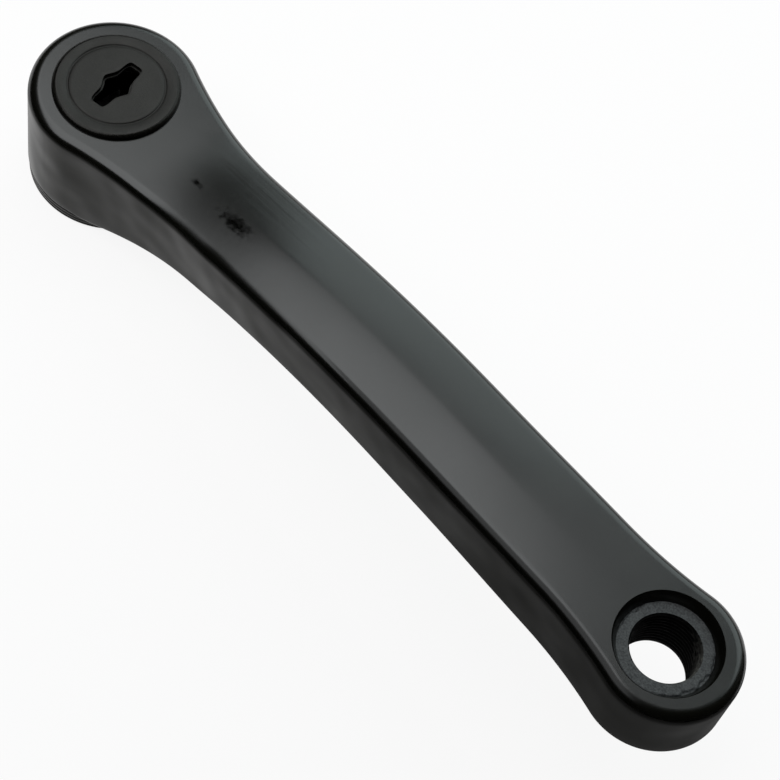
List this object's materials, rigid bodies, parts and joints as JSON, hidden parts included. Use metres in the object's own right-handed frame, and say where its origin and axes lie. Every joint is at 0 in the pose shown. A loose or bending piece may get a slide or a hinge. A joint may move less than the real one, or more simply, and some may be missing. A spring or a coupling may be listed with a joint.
{
  "type": "bicycle crank arm",
  "caption": "Black forged left crank arm with a square taper boss, a flared arm, a recessed threaded pedal eye and a plastic dust cap over the extractor bore.",
  "frame": {"origin": "on the spindle axis, at the back face of the boss", "axes": "+X from the spindle axis to the pedal axis, +Z outboard along both axes"},
  "size_m": [0.2052, 0.0378, 0.0374],
  "materials": {
    "black_arm": "satin black",
    "black_cap": "matte black"
  },
  "bodies": {
    "root": {"crank_arm": "black_arm", "dust_cap": "black_cap"}
  },
  "joints": []
}
